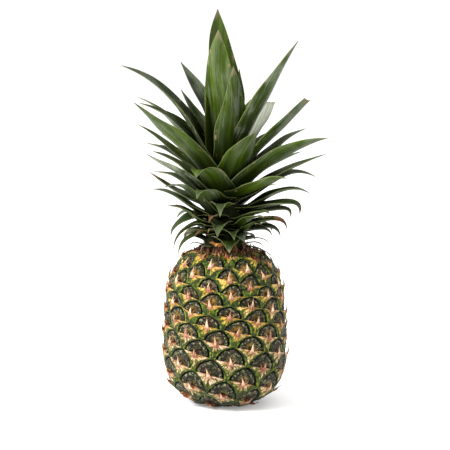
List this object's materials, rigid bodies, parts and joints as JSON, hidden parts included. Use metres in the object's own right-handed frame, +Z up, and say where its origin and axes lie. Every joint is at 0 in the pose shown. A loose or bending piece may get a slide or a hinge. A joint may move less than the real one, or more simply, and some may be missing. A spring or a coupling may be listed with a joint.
{
  "type": "pineapple",
  "caption": "Whole ripe pineapple standing on its base: barrel-shaped fruit covered in spiked eyes, with a tall crown of arching trough-shaped leaves.",
  "frame": {"origin": "middle of the cut stalk's face, on the surface that the fruit stands on", "axes": "+Z up along the fruit's axis from base to crown, -Y towards the side seen in the picture"},
  "size_m": [0.1835, 0.1555, 0.356],
  "materials": {
    "rind": "living plant skin: dark green waxy eyes with golden to tan dry bracts and points",
    "stalk": "cut plant stem, fibrous and matt",
    "leaf": "living leaf: leathery green with a grey waxy bloom and dry brown tips"
  },
  "bodies": {
    "root": {"fruit": "rind", "cut_stalk": "stalk", "crown": "leaf"}
  },
  "joints": []
}
